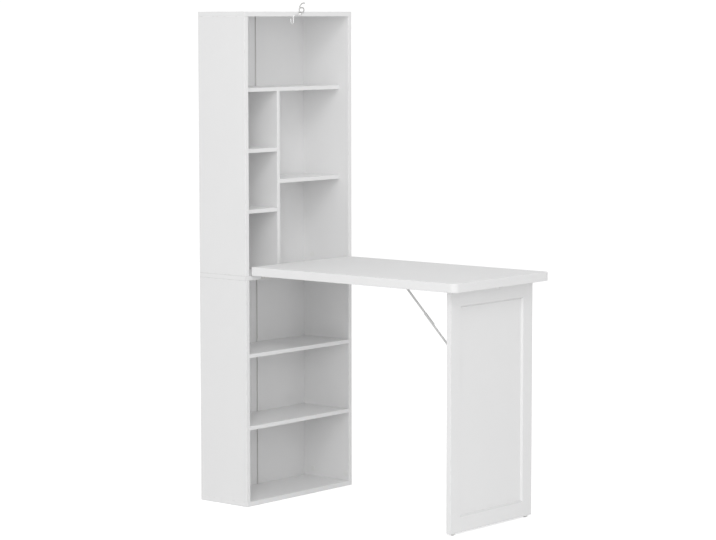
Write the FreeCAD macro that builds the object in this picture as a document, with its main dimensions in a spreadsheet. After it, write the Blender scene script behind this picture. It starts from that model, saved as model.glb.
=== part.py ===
import FreeCAD, Part
import os
import re
import Sketcher
from FreeCAD import Placement, Rotation, Vector
from math import radians

os.makedirs("parts", exist_ok=True)
doc = FreeCAD.newDocument("FoldingDesk")

driving_sizes = {
    # carcass boards
    "case_width": 500,
    "case_depth": 195,
    "case_height": 1520,
    "board": 15,
    "shelf_board": 12,
    "edge_break": 0.6,
    # shelves, whose shares are of the clear height of their unit
    "deck_top": 716,
    "top_bay": 218,
    "lower_low_share": 0.3426,
    "lower_high_share": 0.6691,
    "left_low_share": 0.3533,
    "left_high_share": 0.687,
    "right_share": 0.5098,
    "divider_offset": 55,
    "shelf_recess": 39,
    # hardboard back in two halves with a strip over the seam
    "rebate": 5,
    "back_sheet": 3,
    "back_gap": 0.3,
    "back_seam": 8,
    "seam_offset": 5.5,
    "strip_width": 40,
    # dowels, cam locks and screws that hold the boards
    "dowel_dia": 6,
    "dowel_length": 26,
    "dowel_bite": 9,
    "dowel_inset": 35,
    "bore_gap": 0.2,
    "cam_dia": 15,
    "cam_height": 11,
    "cam_setback": 24,
    "cam_inset": 14,
    "cap_dia": 18,
    "cap_rise": 0.8,
    "cap_plug": 1.2,
    "bolt_dia": 6,
    "bolt_bite": 10,
    "top_screw_dia": 6.4,
    "top_screw_head": 10,
    "top_screw_length": 46,
    # tabletop
    "table_side_gap": 2,
    "table_top_gap": 2,
    "table_thick": 27,
    "table_corner": 20,
    "table_soft": 2,
    "table_lift": 0.5,
    "table_end_gap": 1,
    # leg with a sunk field on its outer face
    "leg_inset": 34,
    "leg_thick": 16,
    "leg_setback": 40,
    "leg_border": 46,
    "leg_sink": 6,
    "leg_drop_gap": 0.3,
    "glide_dia": 14,
    "glide_height": 5.5,
    "glide_pin": 4,
    "glide_inset": 21,
    # hinges of the tabletop and of the leg
    "knuckle_gap": 0.3,
    "running_gap": 0.05,
    "table_barrel": 3,
    "table_leaf": 1.2,
    "table_leaf_wide": 16,
    "deck_leaf_wide": 11,
    "table_hinge_long": 60,
    "table_hinge_pitch": 150,
    "leg_barrel": 4,
    "leg_leaf": 1.6,
    "leg_leaf_wide": 26,
    "leg_hinge_long": 70,
    "leg_hinge_pitch": 110,
    "screw_dia": 3,
    "screw_head": 5.6,
    "screw_length": 12,
    # folding stays between tabletop and leg
    "stay_inset": 32,
    "stay_reach": 171,
    "arm_width": 6.5,
    "arm_thick": 2,
    "arm_gap": 0.3,
    "arm_tail": 20,
    "lug_thick": 1.6,
    "lug_width": 12,
    "bracket_wide": 20,
    "bracket_long": 30,
    "rivet_dia": 3,
    "rivet_head": 4.6,
    "rivet_rise": 1,
    "lock_thick": 1.2,
    # wire hook and its peg
    "hook_wire": 3.4,
    "hook_loop_wire": 3.8,
    "hook_loop": 4.8,
    "hook_throat": 6,
    "hook_reach": 36,
    "hook_drop": 24,
    "hook_lip": 9,
    "hook_ring": 7,
    "hook_ring_long": 4,
    "hook_ring_out": 8.3,
    "hook_tail": 21.4,
    "hook_tail_turn": 79,
    "hook_rise": 8,
    "latch_turn": 88,
    "peg_dia": 5,
    "peg_head": 12,
    "peg_stand": 5,
}

derived_places = {
    "left_x": "-case_width / 2",
    "right_x": "case_width / 2 - board",
    "front_y": "-case_depth / 2",
    "inner_x": "case_width / 2 - board",
    "deck_under": "deck_top - board",
    "top_under": "case_height - board",
    "lower_clear": "deck_under - board",
    "lower_shelf_low": "board + lower_low_share * lower_clear",
    "lower_shelf_high": "board + lower_high_share * lower_clear",
    "wide_shelf_top": "top_under - top_bay",
    "wide_under": "wide_shelf_top - shelf_board",
    "left_shelf_low": "deck_top + left_low_share * (wide_under - deck_top)",
    "left_shelf_high": "deck_top + left_high_share * (wide_under - deck_top)",
    "right_shelf_top": "deck_top + right_share * (wide_under - deck_top)",
    "shelf_depth": "case_depth - rebate",
    "short_depth": "shelf_depth - shelf_recess",
    "short_front": "front_y + shelf_recess",
    "divider_left": "-divider_offset - shelf_board / 2",
    "divider_right": "-divider_offset + shelf_board / 2",
    "sheet_edge": "inner_x + rebate - back_gap",
    "seam_left": "seam_offset - back_seam / 2",
    "seam_right": "seam_offset + back_seam / 2",
    "sheet_y": "front_y + shelf_depth",
    "socket_dia": "dowel_dia + bore_gap",
    "face_socket": "dowel_bite + bore_gap",
    "end_socket": "dowel_length - dowel_bite + bore_gap",
    "bolt_reach": "cam_setback - 1",
    "cam_rear": "shelf_depth - dowel_inset",
    "dowel_front": "cam_inset + dowel_inset",
    "dowel_rear": "cam_rear - dowel_inset / 2",
    "table_under": "deck_top + table_lift",
    "table_arm": "table_barrel + knuckle_gap",
    "table_axis_y": "front_y - table_arm",
    "table_axis_z": "table_under - table_arm",
    "table_inner": "table_axis_y - (deck_top + table_end_gap - table_axis_z)",
    "table_width": "2 * (inner_x - table_side_gap)",
    "table_length": "top_under - table_top_gap - deck_top - table_end_gap",
    "table_free": "table_inner - table_length",
    "leg_width": "table_width - 2 * leg_inset",
    "leg_outer": "table_free + leg_setback",
    "leg_inner": "leg_outer + leg_thick",
    "leg_arm": "leg_barrel + knuckle_gap",
    "leg_axis_y": "leg_inner + leg_arm",
    "leg_axis_z": "table_under - leg_arm",
    "leg_tall": "table_under - leg_drop_gap - glide_height",
    "stay_table_y": "leg_axis_y + stay_reach",
    "stay_leg_z": "leg_axis_z - stay_reach",
    "arm_long": "stay_reach / sqrt(2)",
    "stay_spread": "leg_width / 2 - stay_inset",
    "upper_arm_x": "stay_spread - arm_gap / 2 - arm_thick",
    "lower_arm_x": "stay_spread + arm_gap / 2",
    "table_lug_x": "upper_arm_x - arm_gap",
    "leg_lug_x": "lower_arm_x + arm_thick + arm_gap",
    "rivet_length": "rivet_rise + lug_thick + arm_gap + arm_thick",
    "hook_height": "top_under + hook_rise",
    "hook_y": "front_y - hook_loop_wire / 2 - knuckle_gap",
    "hook_pin_dia": "2 * (hook_loop - hook_loop_wire / 2 - running_gap)",
    "peg_x": "hook_drop * sin(latch_turn * 1 deg) - hook_reach * cos(latch_turn * 1 deg)",
    "peg_fall": "hook_reach * sin(latch_turn * 1 deg) + hook_drop * cos(latch_turn * 1 deg)",
    "peg_y": "table_axis_y - (hook_height - peg_fall - table_axis_z)",
}


def fill_sheet(name, cells, lead=""):
    """One sheet row per alias, with its number or its formula."""
    sheet = doc.addObject("Spreadsheet::Sheet", name)
    for row, (alias, content) in enumerate(cells.items(), start=1):
        sheet.set(f"A{row}", alias)
        sheet.set(f"B{row}", lead + str(content))
        sheet.setAlias(f"B{row}", alias)
    doc.recompute()
    return sheet


def point_names(formula, owners):
    """Formula with each alias led by the sheet that holds it."""
    return re.sub(r"[a-z]\w*", lambda word: owners.get(word[0], "") + word[0], str(formula))


size_owner = {alias: "Sizes." for alias in driving_sizes}
every_owner = {**size_owner, **{alias: "Layout." for alias in derived_places}}
sizes = fill_sheet("Sizes", driving_sizes)
layout_cells = {alias: point_names(text, size_owner) for alias, text in derived_places.items()}
layout = fill_sheet("Layout", layout_cells, lead="=")

upright = Rotation()
downward = Rotation(Vector(1, 0, 0), 180)
rearward = Rotation(Vector(1, 0, 0), -90)
forward = Rotation(Vector(1, 0, 0), 90)
half_turn = Rotation(Vector(0, 0, 1), 180)


def sideways(sign):
    """Turn that lays the local Z axis along +X or -X."""
    return Rotation(Vector(0, 1, 0), 90 * sign)


def linked(formula):
    return point_names(formula, every_owner)


def value(formula):
    return float(sizes.evalExpression(linked(formula)))


def set_place(item, place, turn):
    item.Placement = Placement(Vector(), turn)
    for axis, formula in zip("xyz", place):
        item.setExpression("Placement.Base." + axis, linked(formula))


def new_body(name, place, turn=upright):
    item = doc.addObject("PartDesign::Body", name)
    item.Label = name
    set_place(item, place, turn)
    return item


def origin_plane(item, role):
    return next(feature for feature in item.Origin.OriginFeatures if feature.Role == role)


def new_sketch(item, role, offset=0):
    drawing = item.newObject("Sketcher::SketchObject", item.Name + "_sketch")
    drawing.AttachmentSupport = (origin_plane(item, role), [""])
    drawing.MapMode = "FlatFace"
    drawing.setExpression("AttachmentOffset.Base.z", linked(offset))
    return drawing


def hold(drawing, kind, formula, *target):
    """Adds one dimension and binds it to its formula."""
    index = drawing.addConstraint(Sketcher.Constraint(kind, *target, value(formula)))
    drawing.setExpression(f"Constraints[{index}]", linked(formula))


def hold_point(drawing, geometry, vertex, place):
    hold(drawing, "DistanceX", place[0], -1, 1, geometry, vertex)
    hold(drawing, "DistanceY", place[1], -1, 1, geometry, vertex)


def flat_point(place):
    return Vector(value(place[0]), value(place[1]), 0)


def draw_polygon(drawing, corners):
    first = drawing.GeometryCount
    following = corners[1:] + corners[:1]
    for start, end in zip(corners, following):
        drawing.addGeometry(Part.LineSegment(flat_point(start), flat_point(end)), False)
    for step in range(len(corners)):
        after = first + (step + 1) % len(corners)
        drawing.addConstraint(Sketcher.Constraint("Coincident", first + step, 2, after, 1))
    for step, corner in enumerate(corners):
        hold_point(drawing, first + step, 1, corner)


def draw_rectangle(drawing, low, high):
    draw_polygon(drawing, [low, (high[0], low[1]), high, (low[0], high[1])])


def draw_circles(drawing, centres, diameter):
    for centre in centres:
        circle = Part.Circle(flat_point(centre), Vector(0, 0, 1), value(diameter) / 2)
        geometry = drawing.addGeometry(circle, False)
        hold_point(drawing, geometry, 3, centre)
        hold(drawing, "Diameter", diameter, geometry)


def draw_slot(drawing, start, end, width, level=0):
    """Round-ended bar lying along the sketch's first axis, or level with it."""
    radius = value(width) / 2
    upward = Vector(0, 0, 1)
    left = flat_point((start, level))
    right = flat_point((end, level))
    rise = Vector(0, radius, 0)
    near_bend = Part.Circle(left, upward, radius)
    far_bend = Part.Circle(right, upward, radius)
    near = drawing.addGeometry(Part.ArcOfCircle(near_bend, radians(90), radians(270)), False)
    far = drawing.addGeometry(Part.ArcOfCircle(far_bend, radians(-90), radians(90)), False)
    top = drawing.addGeometry(Part.LineSegment(left + rise, right + rise), False)
    low = drawing.addGeometry(Part.LineSegment(left - rise, right - rise), False)
    meetings = ((near, 1, top, 1), (near, 2, low, 1), (far, 2, top, 2), (far, 1, low, 2))
    for arc, arc_end, line, line_end in meetings:
        drawing.addConstraint(Sketcher.Constraint("Tangent", arc, arc_end, line, line_end))
    hold_point(drawing, near, 3, (start, level))
    hold(drawing, "DistanceX", end, -1, 1, far, 3)
    hold(drawing, "Radius", f"({width}) / 2", near)


def add_pad(item, drawing, length):
    feature = item.newObject("PartDesign::Pad", item.Name + "_pad")
    feature.Profile = drawing
    feature.setExpression("Length", linked(length))
    return feature


def cut_pocket(item, drawing, depth, along_normal=False):
    feature = item.newObject("PartDesign::Pocket", item.Name + "_cut")
    feature.Profile = drawing
    feature.Reversed = along_normal
    feature.setExpression("Length", linked(depth))


def drill(item, role, offset, centres, diameter, depth, along_normal=False):
    drawing = new_sketch(item, role, offset)
    draw_circles(drawing, centres, diameter)
    cut_pocket(item, drawing, depth, along_normal)


def countersink(item, role, offset, centres, along_normal=False):
    """Through holes whose mouths take a flush screw head."""
    drawing = new_sketch(item, role, offset)
    draw_circles(drawing, centres, "screw_dia + bore_gap")
    doc.recompute()
    feature = item.newObject("PartDesign::Hole", item.Name + "_screw_hole")
    feature.Profile = drawing
    doc.recompute()
    feature.Threaded = False
    feature.DepthType = "ThroughAll"
    feature.Reversed = along_normal
    feature.HoleCutType = "Countersink"
    feature.HoleCutCountersinkAngle = 90
    feature.setExpression("Diameter", linked("screw_dia + bore_gap"))
    feature.setExpression("HoleCutDiameter", linked("screw_head + bore_gap"))


def soften(item, kind, size):
    """Rounds or chamfers every edge made so far."""
    solid = item.Tip
    feature = item.newObject("PartDesign::" + kind, item.Name + "_soft")
    feature.Base = (solid, [""])
    feature.UseAllEdges = True
    feature.setExpression("Radius" if kind == "Fillet" else "Size", linked(size))


def new_slab(name, place, span):
    """Square-edged slab with its near left lower corner at the given place."""
    item = new_body(name, place)
    drawing = new_sketch(item, "XY_Plane")
    draw_rectangle(drawing, (0, 0), (span[0], span[1]))
    add_pad(item, drawing, span[2])
    return item


def new_board(name, place, span):
    """Slab whose edge bands are broken by a narrow chamfer."""
    item = new_slab(name, place, span)
    soften(item, "Chamfer", "edge_break")
    return item


def new_turned(name, profile, place, turn):
    """Piece turned about its own Z axis from (radius, height) corners."""
    item = new_body(name, place, turn)
    drawing = new_sketch(item, "XZ_Plane")
    draw_polygon(drawing, profile)
    feature = item.newObject("PartDesign::Revolution", item.Name + "_turning")
    feature.Profile = drawing
    feature.ReferenceAxis = (drawing, ["V_Axis"])
    feature.Angle = 360
    return item


def cut_drive(item, corners, offset, depth):
    """Driver recess in the head of a turned screw."""
    drawing = new_sketch(item, "XY_Plane", offset)
    draw_polygon(drawing, corners)
    cut_pocket(item, drawing, depth, along_normal=True)


def cross_corners(reach, slim):
    """Corners of a cross-shaped driver recess."""
    quarters = ((1, 1), (-1, 1), (-1, -1), (1, -1))
    corners = []
    for across, along in quarters:
        tips = [(f"{across} * {reach}", f"{along} * {slim}"), (f"{across} * {slim}", f"{along} * {slim}"),
                (f"{across} * {slim}", f"{along} * {reach}")]
        corners += tips if across == along else tips[::-1]
    return corners


def new_rod(name, diameter, length, place, turn):
    item = doc.addObject("Part::Cylinder", name)
    item.setExpression("Radius", linked(f"({diameter}) / 2"))
    item.setExpression("Height", linked(length))
    set_place(item, place, turn)
    return item


def new_group(name, items):
    bundle = doc.addObject("Part::Compound", name)
    bundle.Label = name
    bundle.Links = items
    return bundle


nodes = []
full_rows = ["dowel_front", "dowel_rear"]
cam_rows = ["cam_inset", "cam_rear"]
lower_shelf_rows = ["dowel_inset", "shelf_depth - dowel_inset"]
upper_shelf_rows = ["shelf_recess + dowel_inset", "shelf_depth - dowel_inset"]


# side boards
def new_side(name, sign, foot, head, shelf_levels, shelf_rows, locked_head):
    """Side board; the sign tells the left one from the right one."""
    item = new_board(name, ("left_x" if sign < 0 else "right_x", "front_y", foot),
                     ("board", "case_depth", f"{head} - {foot}"))
    inner = "board" if sign < 0 else "0"
    tall = f"{head} - {foot}"
    drawing = new_sketch(item, "XY_Plane")
    near = "board - rebate" if sign < 0 else "0"
    draw_rectangle(drawing, (near, "shelf_depth"), (f"{near} + rebate", "case_depth"))
    cut_pocket(item, drawing, tall, along_normal=True)
    cam_levels = ["cam_setback"] + ([f"{tall} - cam_setback"] if locked_head else [])
    cam_centres = [(row, level) for level in cam_levels for row in cam_rows]
    drill(item, "YZ_Plane", inner, cam_centres, "cam_dia + bore_gap", "cam_height + bore_gap", sign > 0)
    sockets = [(row, f"{level} - shelf_board / 2 - {foot}") for level in shelf_levels for row in shelf_rows]
    drill(item, "YZ_Plane", inner, sockets, "socket_dia", "face_socket", sign > 0)
    middle = "board / 2"
    for end, from_below in (("0", True), (tall, False)):
        if from_below or locked_head:
            drill(item, "XY_Plane", end, [(middle, row) for row in full_rows],
                  "socket_dia", "end_socket", from_below)
            drill(item, "XY_Plane", end, [(middle, row) for row in cam_rows],
                  "bolt_dia + bore_gap", "cam_setback", from_below)
        else:
            drill(item, "XY_Plane", end, [(middle, row) for row in full_rows],
                  "top_screw_dia + bore_gap", "top_screw_length - board + bore_gap", from_below)
    return item


lower_levels = ["lower_shelf_low", "lower_shelf_high"]
left_levels = ["left_shelf_low", "left_shelf_high", "wide_shelf_top"]
right_levels = ["right_shelf_top", "wide_shelf_top"]
nodes.append(new_side("lower_left_side", -1, "board", "deck_under", lower_levels, lower_shelf_rows, True))
nodes.append(new_side("lower_right_side", 1, "board", "deck_under", lower_levels, lower_shelf_rows, True))
for name, sign, levels in (("upper_left_side", -1, left_levels), ("upper_right_side", 1, right_levels)):
    nodes.append(new_side(name, sign, "deck_top", "top_under", levels, upper_shelf_rows, False))


# base, deck and top boards with the rebates that take the back
def new_cap(name, level, rebate_lows):
    item = new_board(name, ("left_x", "front_y", level), ("case_width", "case_depth", "board"))
    for low in rebate_lows:
        drawing = new_sketch(item, "YZ_Plane", "board - rebate")
        draw_rectangle(drawing, ("shelf_depth", low), ("case_depth", f"{low} + rebate"))
        cut_pocket(item, drawing, "case_width - 2 * (board - rebate)", along_normal=True)
    return item


def end_centres(rows):
    return [(x, row) for x in ("board / 2", "case_width - board / 2") for row in rows]


base_board = new_cap("base_board", "0", ["board - rebate"])
drill(base_board, "XY_Plane", "board", end_centres(full_rows), "socket_dia", "face_socket")
drill(base_board, "XY_Plane", "board", end_centres(cam_rows), "bolt_dia + bore_gap", "bolt_bite + bore_gap")
nodes.append(base_board)

deck_board = new_cap("deck_board", "deck_under", ["0", "board - rebate"])
drill(deck_board, "XY_Plane", "board", end_centres(full_rows), "socket_dia", "board")
drill(deck_board, "XY_Plane", "board", end_centres(cam_rows), "bolt_dia + bore_gap", "board")
divider_feet = [("case_width / 2 - divider_offset", row) for row in upper_shelf_rows]
drill(deck_board, "XY_Plane", "board", divider_feet, "socket_dia", "face_socket")
nodes.append(deck_board)

top_board = new_cap("top_board", "top_under", ["0"])
drill(top_board, "XY_Plane", "board", end_centres(full_rows), "top_screw_dia + bore_gap", "board")
drill(top_board, "XY_Plane", "board", end_centres(full_rows), "top_screw_head + bore_gap",
      "top_screw_head / 3 + bore_gap")
drill(top_board, "XZ_Plane", "0", [("case_width / 2", "hook_height - top_under")],
      "hook_pin_dia + bore_gap", "2 * board + bore_gap")
nodes.append(top_board)


# shelves and divider
def new_shelf(name, start, stop, front, depth, level):
    item = new_board(name, (start, front, f"{level} - shelf_board"),
                     (f"{stop} - ({start})", depth, "shelf_board"))
    sockets = [(row, "shelf_board / 2") for row in ("dowel_inset", f"{depth} - dowel_inset")]
    drill(item, "YZ_Plane", "0", sockets, "socket_dia", "end_socket", along_normal=True)
    drill(item, "YZ_Plane", f"{stop} - ({start})", sockets, "socket_dia", "end_socket")
    return item


for level in lower_levels:
    nodes.append(new_shelf(level.replace("lower_shelf", "floor_shelf"), "-inner_x", "inner_x",
                           "front_y", "shelf_depth", level))
wide_shelf = new_shelf("wide_shelf", "-inner_x", "inner_x", "short_front", "short_depth", "wide_shelf_top")
divider_heads = [("inner_x - divider_offset", row) for row in ("dowel_inset", "short_depth - dowel_inset")]
drill(wide_shelf, "XY_Plane", "0", divider_heads, "socket_dia", "face_socket", along_normal=True)
nodes.append(wide_shelf)
for level in left_levels[:2]:
    nodes.append(new_shelf(level, "-inner_x", "divider_left", "short_front", "short_depth", level))
nodes.append(new_shelf("right_shelf", "divider_right", "inner_x", "short_front", "short_depth",
                       "right_shelf_top"))

divider_tall = "wide_under - deck_top"
divider = new_board("divider", ("divider_left", "short_front", "deck_top"),
                    ("shelf_board", "short_depth", divider_tall))
divider_rows = ["dowel_inset", "short_depth - dowel_inset"]
divider_ends = [("shelf_board / 2", row) for row in divider_rows]
drill(divider, "XY_Plane", "0", divider_ends, "socket_dia", "end_socket", along_normal=True)
drill(divider, "XY_Plane", divider_tall, divider_ends, "socket_dia", "end_socket")
for face, levels, inward in (("0", left_levels[:2], True), ("shelf_board", right_levels[:1], False)):
    sockets = [(row, f"{level} - shelf_board / 2 - deck_top") for level in levels for row in divider_rows]
    drill(divider, "YZ_Plane", face, sockets, "socket_dia", "face_socket", along_normal=inward)
nodes.append(divider)


# back sheets and seam strips
for unit, foot, head in (("lower", "board", "deck_under"), ("upper", "deck_top", "top_under")):
    low = f"{foot} - rebate + back_gap"
    tall = f"{head} - {foot} + 2 * (rebate - back_gap)"
    for hand, start, stop in (("left", "-sheet_edge", "seam_left"), ("right", "seam_right", "sheet_edge")):
        nodes.append(new_slab(f"{unit}_back_{hand}", (start, "sheet_y", low),
                              (f"{stop} - ({start})", "back_sheet", tall)))
    strip_place = ("seam_offset - strip_width / 2", "sheet_y + back_sheet", low)
    nodes.append(new_slab(f"{unit}_back_strip", strip_place, ("strip_width", "rebate - back_sheet", tall)))


# dowels
def dowel_pair(name, ends, rows, front, level, sign):
    """Dowels lying along X from the socket in a board's face."""
    places = [(f"{end} - ({sign}) * dowel_bite", f"{front} + {row}", level) for end in ends for row in rows]
    return [new_rod(name, "dowel_dia", "dowel_length", place, sideways(sign)) for place in places]


def shelf_dowels(start, stop, front, depth, level):
    rows = ("dowel_inset", f"{depth} - dowel_inset")
    height = f"{level} - shelf_board / 2"
    return (dowel_pair("dowel", [start], rows, front, height, 1)
            + dowel_pair("dowel", [stop], rows, front, height, -1))


def standing_rods(name, diameter, length, level, places, turn=upright):
    return [new_rod(name, diameter, length, (x, y, level), turn) for x, y in places]


corner_columns = ("left_x + board / 2", "inner_x + board / 2")
full_places = [(x, f"front_y + {row}") for x in corner_columns for row in full_rows]
cam_places = [(x, f"front_y + {row}") for x in corner_columns for row in cam_rows]
divider_places = [("-divider_offset", f"front_y + {row}") for row in upper_shelf_rows]

lower_dowels = standing_rods("dowel", "dowel_dia", "dowel_length", "board - dowel_bite", full_places)
for level in lower_levels:
    lower_dowels += shelf_dowels("-inner_x", "inner_x", "front_y", "shelf_depth", level)
nodes.append(new_group("lower_dowels", lower_dowels))

upper_dowels = standing_rods("dowel", "dowel_dia", "dowel_length", "deck_top - dowel_bite", divider_places)
upper_dowels += standing_rods("dowel", "dowel_dia", "dowel_length",
                              "wide_under + dowel_bite - dowel_length", divider_places)
upper_dowels += shelf_dowels("-inner_x", "inner_x", "short_front", "short_depth", "wide_shelf_top")
upper_dowels += shelf_dowels("divider_right", "inner_x", "short_front", "short_depth", "right_shelf_top")
for level in left_levels[:2]:
    upper_dowels += shelf_dowels("-inner_x", "divider_left", "short_front", "short_depth", level)
nodes.append(new_group("upper_dowels", upper_dowels))

deck_dowel_long = "board + 2 * (dowel_length - dowel_bite)"
nodes.append(new_group("deck_dowels", standing_rods(
    "deck_dowel", "dowel_dia", deck_dowel_long, "deck_under - dowel_length + dowel_bite", full_places)))


# cam locks with their bolts
def new_cam(place, sign, opening):
    """Cam in a side board; its bore opens downwards or upwards."""
    item = new_body("cam", place, sideways(sign))
    drawing = new_sketch(item, "XY_Plane", "cap_plug")
    draw_circles(drawing, [(0, 0)], "cam_dia")
    add_pad(item, drawing, "cam_height - cap_plug")
    middle = "board / 2"
    drill(item, "YZ_Plane", 0, [(0, middle)], "bolt_dia + 2 * bore_gap", "cam_dia", sign * opening < 0)
    drawing = new_sketch(item, "XY_Plane", "cap_plug")
    bar = "cam_dia / 3"
    draw_rectangle(drawing, (f"-({bar})", "-screw_dia / 4"), (bar, "screw_dia / 4"))
    cut_pocket(item, drawing, "screw_dia / 2", along_normal=True)
    return item


cap_profile = [("0", "-cap_rise"), ("cap_dia / 2 - cap_rise", "-cap_rise"),
               ("cap_dia / 2", "-cap_rise / 4"), ("cap_dia / 2", "0"), ("cam_dia / 2", "0"),
               ("cam_dia / 2", "cap_plug"), ("0", "cap_plug")]
cams = []
caps = []
for sign, inner in ((1, "inner_x"), (-1, "-inner_x")):
    for row in cam_rows:
        for level, opening in (("board + cam_setback", -1), ("deck_under - cam_setback", 1),
                               ("deck_top + cam_setback", -1)):
            place = (inner, f"front_y + {row}", level)
            cams.append(new_cam(place, sign, opening))
            caps.append(new_turned("cam_cap", cap_profile, place, sideways(sign)))
nodes.append(new_group("cam_locks", cams))
nodes.append(new_group("cam_caps", caps))
nodes.append(new_group("base_bolts", standing_rods(
    "base_bolt", "bolt_dia", "bolt_bite + bolt_reach", "board - bolt_bite", cam_places)))
nodes.append(new_group("deck_bolts", standing_rods(
    "deck_bolt", "bolt_dia", "board + 2 * bolt_reach", "deck_under - bolt_reach", cam_places)))

top_screw_profile = [("0", "0"), ("top_screw_head / 2", "0"),
                     ("top_screw_head / 2", "top_screw_head / 3"),
                     ("top_screw_dia / 2", "top_screw_head / 3"),
                     ("top_screw_dia / 2", "top_screw_length - top_screw_dia"), ("0", "top_screw_length")]
flat = "top_screw_head / 5"
half_flat = f"{flat} * tan(30 deg)"
point = f"2 * {half_flat}"
hex_corners = [(point, 0), (half_flat, flat), (f"-{half_flat}", flat),
               (f"-{point}", 0), (f"-{half_flat}", f"-{flat}"), (half_flat, f"-{flat}")]
top_screws = []
for x, y in full_places:
    screw = new_turned("top_screw", top_screw_profile, (x, y, "case_height"), downward)
    cut_drive(screw, hex_corners, "0", "top_screw_head / 4")
    top_screws.append(screw)
nodes.append(new_group("top_screws", top_screws))


# tabletop and leg
tabletop = new_body("tabletop", ("-table_width / 2", "table_free", "table_under"))
outline = new_sketch(tabletop, "XY_Plane")
draw_rectangle(outline, (0, 0), ("table_width", "table_length"))
slab = add_pad(tabletop, outline, "table_thick")
doc.recompute()
corner_edges = [f"Edge{index}" for index, edge in enumerate(slab.Shape.Edges, start=1)
                if abs(edge.tangentAt(edge.FirstParameter).z) > 0.9 and edge.CenterOfMass.y < 1]
corners = tabletop.newObject("PartDesign::Fillet", "tabletop_corners")
corners.Base = (slab, corner_edges)
corners.setExpression("Radius", linked("table_corner"))
soften(tabletop, "Fillet", "table_soft")
nodes.append(tabletop)

leg_panel = new_slab("leg_panel", ("-leg_width / 2", "leg_outer", "glide_height"),
                     ("leg_width", "leg_thick", "leg_tall"))
soften(leg_panel, "Fillet", "table_soft / 2")
field = new_sketch(leg_panel, "XZ_Plane")
draw_rectangle(field, ("leg_border", "leg_border"), ("leg_width - leg_border", "leg_tall - leg_border"))
sunk = leg_panel.newObject("PartDesign::Pocket", "leg_panel_field")
sunk.Profile = field
sunk.setExpression("Length", linked("leg_sink"))
sunk.TaperAngle = -40
nodes.append(leg_panel)

glide_centres = [(x, "leg_thick / 2") for x in ("glide_inset", "leg_width - glide_inset")]
drill(leg_panel, "XY_Plane", "0", glide_centres, "glide_pin + bore_gap", "3 * glide_pin + bore_gap",
      along_normal=True)
glide_profile = [("0", "0"), ("glide_dia / 3", "0"), ("glide_dia / 2", "glide_height / 2"),
                 ("glide_dia / 2", "glide_height"), ("glide_pin / 2", "glide_height"),
                 ("glide_pin / 2", "glide_height + 3 * glide_pin"), ("0", "glide_height + 3 * glide_pin")]
glide_places = [(f"{sign} * (leg_width / 2 - glide_inset)", "leg_outer + leg_thick / 2", "0")
                for sign in (-1, 1)]
nodes.append(new_group("leg_glides", [new_turned("leg_glide", glide_profile, place, upright)
                                      for place in glide_places]))


# butt hinges
def new_leaf(name, place, turn, side, first, kind, wide, knuckles):
    """Rolled leaf about its own X axis; the plate lies above the axis, towards +Y or -Y."""
    long = f"{kind}_hinge_long"
    item = new_body(name, place, turn)
    drawing = new_sketch(item, "YZ_Plane")
    draw_circles(drawing, [(0, 0)], f"2 * {kind}_barrel")
    draw_circles(drawing, [(0, 0)], f"2 * ({kind}_barrel - {kind}_leaf)")
    add_pad(item, drawing, long)
    drawing = new_sketch(item, "YZ_Plane")
    reach = f"{side} * ({wide})"
    draw_rectangle(drawing, (0, f"{kind}_arm - {kind}_leaf"), (reach, f"{kind}_arm"))
    add_pad(item, drawing, long)
    part = f"{long} / {knuckles}"
    for step in range(1 if first else 0, knuckles, 2):
        drawing = new_sketch(item, "YZ_Plane", f"{step} * {part} - knuckle_gap / 2")
        draw_circles(drawing, [(0, 0)], f"2 * ({kind}_barrel + knuckle_gap)")
        cut_pocket(item, drawing, f"{part} + knuckle_gap", along_normal=True)
    screw_row = f"{side} * 0.6 * ({wide})"
    centres = [(f"{share} * {long}", screw_row) for share in screw_shares]
    countersink(item, "XY_Plane", f"{kind}_arm - {kind}_leaf", centres, along_normal=True)
    return item


screw_shares = (0.2, 0.8)
screw_profile = [("0", "0"), ("screw_head / 2", "0"), ("screw_dia / 2", "(screw_head - screw_dia) / 2"),
                 ("screw_dia / 2", "screw_length - screw_dia"), ("0", "screw_length")]


def screws_at(places, turn):
    screws = []
    for place in places:
        screw = new_turned("screw", screw_profile, place, turn)
        cut_drive(screw, cross_corners("screw_head / 4", "screw_head / 14"), "0", "screw_head / 5")
        screws.append(screw)
    return screws


def hinge_starts(kind, steps):
    return [f"{step} * {kind}_hinge_pitch - {kind}_hinge_long / 2" for step in steps]


def hinge_columns(kind, steps):
    starts = hinge_starts(kind, steps)
    return [f"{start} + {share} * {kind}_hinge_long" for start in starts for share in screw_shares]


def add_hinges(kind, steps, knuckles, host_a, host_b):
    """Three nodes per hinge set: both leaves and the pins. A host is (name, turn, side, width)."""
    axis = (f"{kind}_axis_y", f"{kind}_axis_z")
    for first, (name, turn, side, wide) in ((True, host_a), (False, host_b)):
        leaves = [new_leaf(name, (start, *axis), turn, side, first, kind, wide, knuckles)
                  for start in hinge_starts(kind, steps)]
        nodes.append(new_group(name.replace("leaf", "leaves"), leaves))
    pin_dia = f"2 * ({kind}_barrel - {kind}_leaf - running_gap)"
    pins = [new_rod(f"{kind}_pin", pin_dia, f"{kind}_hinge_long", (start, *axis), sideways(1))
            for start in hinge_starts(kind, steps)]
    nodes.append(new_group(f"{kind}_hinge_pins", pins))


table_steps = (-1, 0, 1)
leg_steps = (-1, 1)
add_hinges("table", table_steps, 3, ("deck_hinge_leaf", rearward, 1, "deck_leaf_wide"),
           ("table_hinge_leaf", upright, -1, "table_leaf_wide"))
add_hinges("leg", leg_steps, 5, ("leg_hinge_upper_leaf", upright, 1, "leg_leaf_wide"),
           ("leg_hinge_lower_leaf", forward, -1, "leg_leaf_wide"))

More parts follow.
